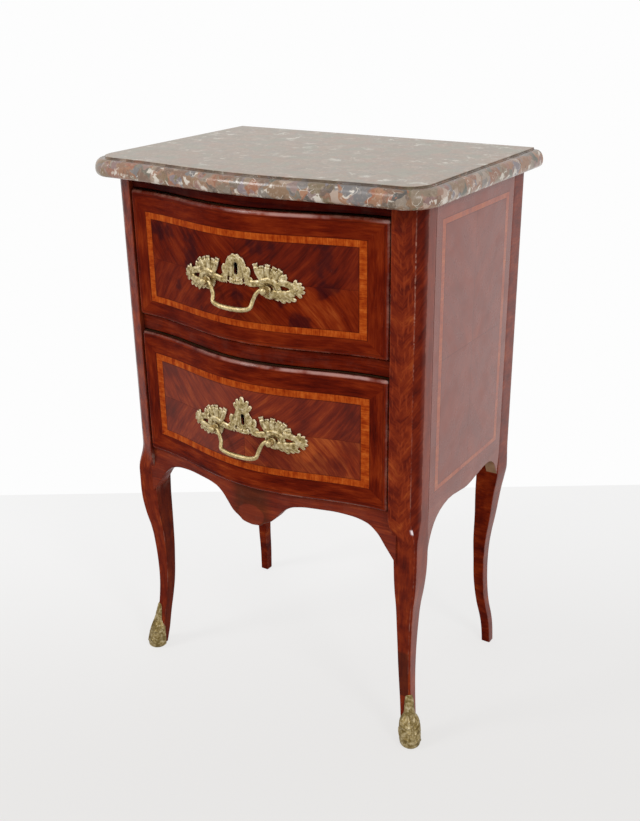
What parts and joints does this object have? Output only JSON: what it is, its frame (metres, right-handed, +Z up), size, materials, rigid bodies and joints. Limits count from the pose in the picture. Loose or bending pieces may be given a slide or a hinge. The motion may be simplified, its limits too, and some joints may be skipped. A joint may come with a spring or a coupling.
{
  "type": "commode chest",
  "caption": "Small serpentine commode chest with two bow-fronted drawers on cabriole legs under a moulded marble top.",
  "frame": {"origin": "on the floor, under the middle of the whole object's box", "axes": "+X to the right seen from the front, -Y to the front, +Z up"},
  "size_m": [0.482, 0.345, 0.74],
  "materials": {
    "marble": "polished breccia marble",
    "veneer": "french-polished red-brown veneer with tulipwood bands",
    "carcass_oak": "bare aged oak",
    "drawer_oak": "bare pale oak",
    "gilt_bronze": "cast, chased and gilt, with dark recesses",
    "lock_iron": "filed and oiled"
  },
  "bodies": {
    "case": {"marble_top": "marble", "front_leg_right": "veneer", "front_leg_left": "veneer", "rear_leg_right": "veneer", "rear_leg_left": "veneer", "side_panel_right": "veneer", "side_panel_left": "veneer", "top_rail_front": "veneer", "drawer_rail": "veneer", "front_apron": "veneer", "top_rail_back": "carcass_oak", "back_panel": "carcass_oak", "back_rail_bottom": "carcass_oak", "bottom_board": "carcass_oak", "top_kicker_right": "carcass_oak", "top_kicker_left": "carcass_oak", "shoe_right": "gilt_bronze", "shoe_left": "gilt_bronze", "upper_runner_right": "carcass_oak", "upper_runner_left": "carcass_oak", "lower_runner_right": "carcass_oak", "lower_runner_left": "carcass_oak"},
    "upper_drawer": {"upper_drawer_front": "veneer", "upper_drawer_side_right": "drawer_oak", "upper_drawer_side_left": "drawer_oak", "upper_drawer_back": "drawer_oak", "upper_drawer_bottom": "drawer_oak", "upper_mount": "gilt_bronze", "upper_bail_post_right": "gilt_bronze", "upper_bail_post_left": "gilt_bronze", "upper_post_nut_right": "gilt_bronze", "upper_post_nut_left": "gilt_bronze", "upper_lock_case": "lock_iron"},
    "upper_bail": {"upper_bail": "gilt_bronze"},
    "upper_bolt": {"upper_lock_bolt": "lock_iron"},
    "lower_drawer": {"lower_drawer_front": "veneer", "lower_drawer_side_right": "drawer_oak", "lower_drawer_side_left": "drawer_oak", "lower_drawer_back": "drawer_oak", "lower_drawer_bottom": "drawer_oak", "lower_mount": "gilt_bronze", "lower_bail_post_right": "gilt_bronze", "lower_bail_post_left": "gilt_bronze", "lower_post_nut_right": "gilt_bronze", "lower_post_nut_left": "gilt_bronze", "lower_lock_case": "lock_iron"},
    "lower_bail": {"lower_bail": "gilt_bronze"},
    "lower_bolt": {"lower_lock_bolt": "lock_iron"}
  },
  "joints": [
    {"name": "upper_drawer_slide", "type": "slide", "parent": "case", "child": "upper_drawer", "axis": [0, -1, 0], "range_m": [0, 0.2]},
    {"name": "upper_bail_hinge", "type": "hinge", "parent": "upper_drawer", "child": "upper_bail", "pos_m": [0, -0.16237, 0.6105], "axis": [-1, 0, 0], "range_deg": [0, 80]},
    {"name": "upper_bolt_slide", "type": "slide", "parent": "upper_drawer", "child": "upper_bolt", "axis": [0, 0, 1], "range_m": [0, 0.007]},
    {"name": "lower_drawer_slide", "type": "slide", "parent": "case", "child": "lower_drawer", "axis": [0, -1, 0], "range_m": [0, 0.2]},
    {"name": "lower_bail_hinge", "type": "hinge", "parent": "lower_drawer", "child": "lower_bail", "pos_m": [0, -0.16237, 0.419], "axis": [-1, 0, 0], "range_deg": [0, 80]},
    {"name": "lower_bolt_slide", "type": "slide", "parent": "lower_drawer", "child": "lower_bolt", "axis": [0, 0, 1], "range_m": [0, 0.007]}
  ]
}
